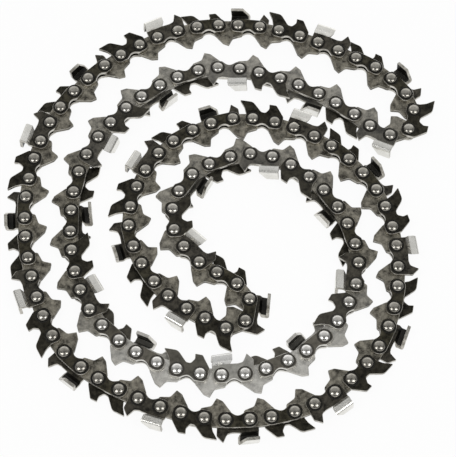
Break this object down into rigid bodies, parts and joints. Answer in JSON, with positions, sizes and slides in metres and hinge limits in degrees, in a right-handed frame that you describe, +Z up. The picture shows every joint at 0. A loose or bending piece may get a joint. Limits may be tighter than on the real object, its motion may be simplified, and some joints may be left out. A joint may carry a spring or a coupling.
{
  "type": "chainsaw chain loop",
  "caption": "Closed loop of low-kickback saw chain lying coiled on its side, with cutters, finned guard straps, tie straps, hooked drive links and rivets.",
  "frame": {"origin": "centre of the coiled loop's bounding box, at the underside on which it lies", "axes": "+X to the right and +Y away from the viewer in the picture's lay, +Z up, across the chain's thickness"},
  "size_m": [0.1668, 0.18, 0.0069],
  "materials": {
    "cutter_chrome": "satin",
    "strap_steel": "satin",
    "drive_steel": "satin",
    "rivet_steel": "polished"
  },
  "bodies": {
    "root": {"left_cutter_01": "cutter_chrome", "left_cutter_02": "cutter_chrome", "left_cutter_03": "cutter_chrome", "left_cutter_04": "cutter_chrome", "left_cutter_05": "cutter_chrome", "left_cutter_06": "cutter_chrome", "left_cutter_07": "cutter_chrome", "left_cutter_08": "cutter_chrome", "left_cutter_09": "cutter_chrome", "left_cutter_10": "cutter_chrome", "left_cutter_11": "cutter_chrome", "left_cutter_12": "cutter_chrome", "left_cutter_13": "cutter_chrome", "left_cutter_14": "cutter_chrome", "left_cutter_15": "cutter_chrome", "left_cutter_16": "cutter_chrome", "left_cutter_17": "cutter_chrome", "left_cutter_18": "cutter_chrome", "right_cutter_01": "cutter_chrome", "right_cutter_02": "cutter_chrome", "right_cutter_03": "cutter_chrome", "right_cutter_04": "cutter_chrome", "right_cutter_05": "cutter_chrome", "right_cutter_06": "cutter_chrome", "right_cutter_07": "cutter_chrome", "right_cutter_08": "cutter_chrome", "right_cutter_09": "cutter_chrome", "right_cutter_10": "cutter_chrome", "right_cutter_11": "cutter_chrome", "right_cutter_12": "cutter_chrome", "right_cutter_13": "cutter_chrome", "right_cutter_14": "cutter_chrome", "right_cutter_15": "cutter_chrome", "right_cutter_16": "cutter_chrome", "right_cutter_17": "cutter_chrome", "right_cutter_18": "cutter_chrome", "guard_straps_upper": "strap_steel", "guard_straps_lower": "strap_steel", "tie_straps_upper": "strap_steel", "tie_straps_lower": "strap_steel", "drive_links": "drive_steel", "rivet_heads_upper": "rivet_steel", "rivet_heads_lower": "rivet_steel"}
  },
  "joints": []
}
